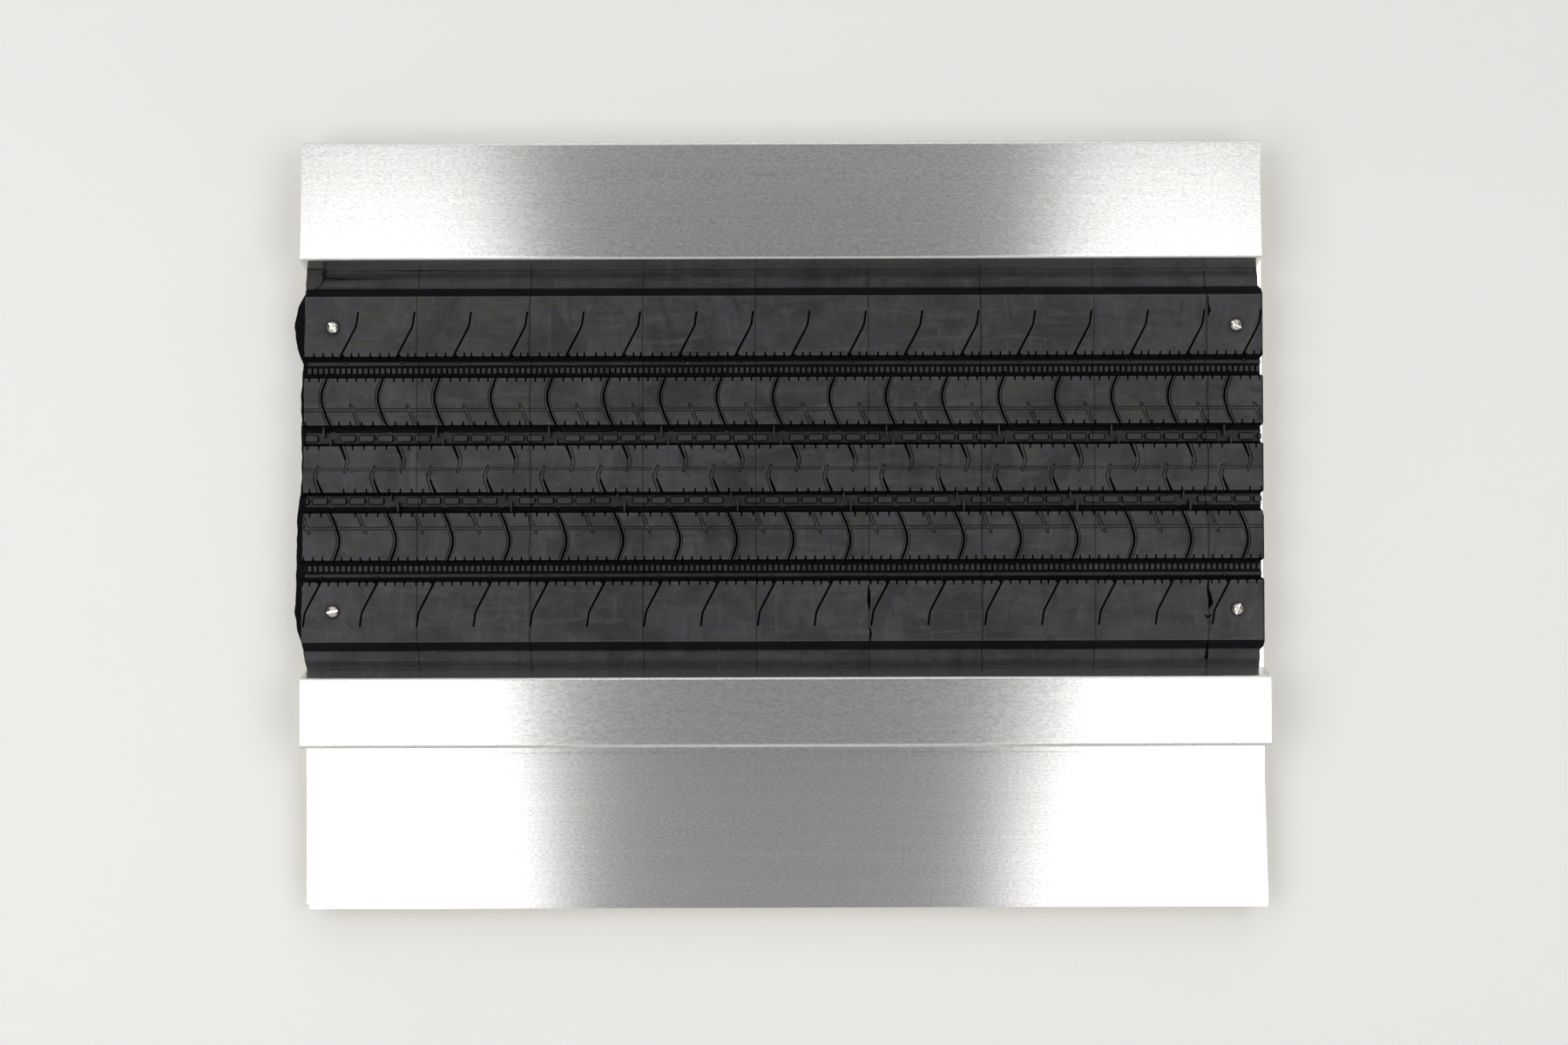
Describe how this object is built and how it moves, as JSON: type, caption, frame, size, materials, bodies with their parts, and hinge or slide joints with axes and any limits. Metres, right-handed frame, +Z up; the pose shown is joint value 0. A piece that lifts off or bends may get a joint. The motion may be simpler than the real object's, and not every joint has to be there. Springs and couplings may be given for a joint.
{
  "type": "tread strip wall panel",
  "caption": "Wall panel: moulded rubber tyre-tread strip held by slotted screws between folded aluminium sheets, hung on a Z rail.",
  "frame": {"origin": "middle of the wall rail's back face, on the wall", "axes": "+X to the right along the ribs, +Y into the wall, +Z up; the front faces -Y"},
  "size_m": [0.6461, 0.0415, 0.509],
  "materials": {
    "tread_rubber": "matt moulded rubber, dusty, with scuffs",
    "brushed_aluminium": "brushed along the length",
    "mill_aluminium": "mill finish",
    "slotted_screws": "plain steel, dark in the slot",
    "zinc_screws": "zinc plated",
    "insert_brass": "turned brass",
    "birch": "planed wood",
    "foam_tape": "closed-cell foam",
    "felt": "pressed felt"
  },
  "bodies": {
    "wall": {"wall_rail": "mill_aluminium"},
    "panel": {"hanger_rail": "mill_aluminium", "hanger_screws": "zinc_screws", "top_batten": "birch", "lower_batten": "birch", "bottom_batten": "birch", "left_stile": "birch", "right_stile": "birch", "frame_screws": "zinc_screws", "wall_bumpers": "felt", "backing_sheet": "brushed_aluminium", "backing_screws": "zinc_screws", "rubber_tread": "tread_rubber", "tread_inserts": "insert_brass", "upper_cover": "brushed_aluminium", "cover_screws": "zinc_screws", "rail_cover": "brushed_aluminium", "rail_screws": "zinc_screws", "apron_sheet": "brushed_aluminium", "apron_tape": "foam_tape"},
    "screw_1": {"tread_screw_1": "slotted_screws"},
    "screw_2": {"tread_screw_2": "slotted_screws"},
    "screw_3": {"tread_screw_3": "slotted_screws"},
    "screw_4": {"tread_screw_4": "slotted_screws"}
  },
  "joints": [
    {"name": "panel_lift", "type": "slide", "parent": "wall", "child": "panel", "axis": [0, 0, 1], "range_m": [0, 0.014]},
    {"name": "tread_screw_1_turn", "type": "hinge", "parent": "panel", "child": "screw_1", "pos_m": [-0.2983, -0.033, -0.0541], "axis": [0, -1, 0], "continuous": true},
    {"name": "tread_screw_2_turn", "type": "hinge", "parent": "panel", "child": "screw_2", "pos_m": [0.2983, -0.033, -0.0541], "axis": [0, -1, 0], "continuous": true},
    {"name": "tread_screw_3_turn", "type": "hinge", "parent": "panel", "child": "screw_3", "pos_m": [-0.2983, -0.033, -0.2417], "axis": [0, -1, 0], "continuous": true},
    {"name": "tread_screw_4_turn", "type": "hinge", "parent": "panel", "child": "screw_4", "pos_m": [0.2983, -0.033, -0.2417], "axis": [0, -1, 0], "continuous": true}
  ]
}
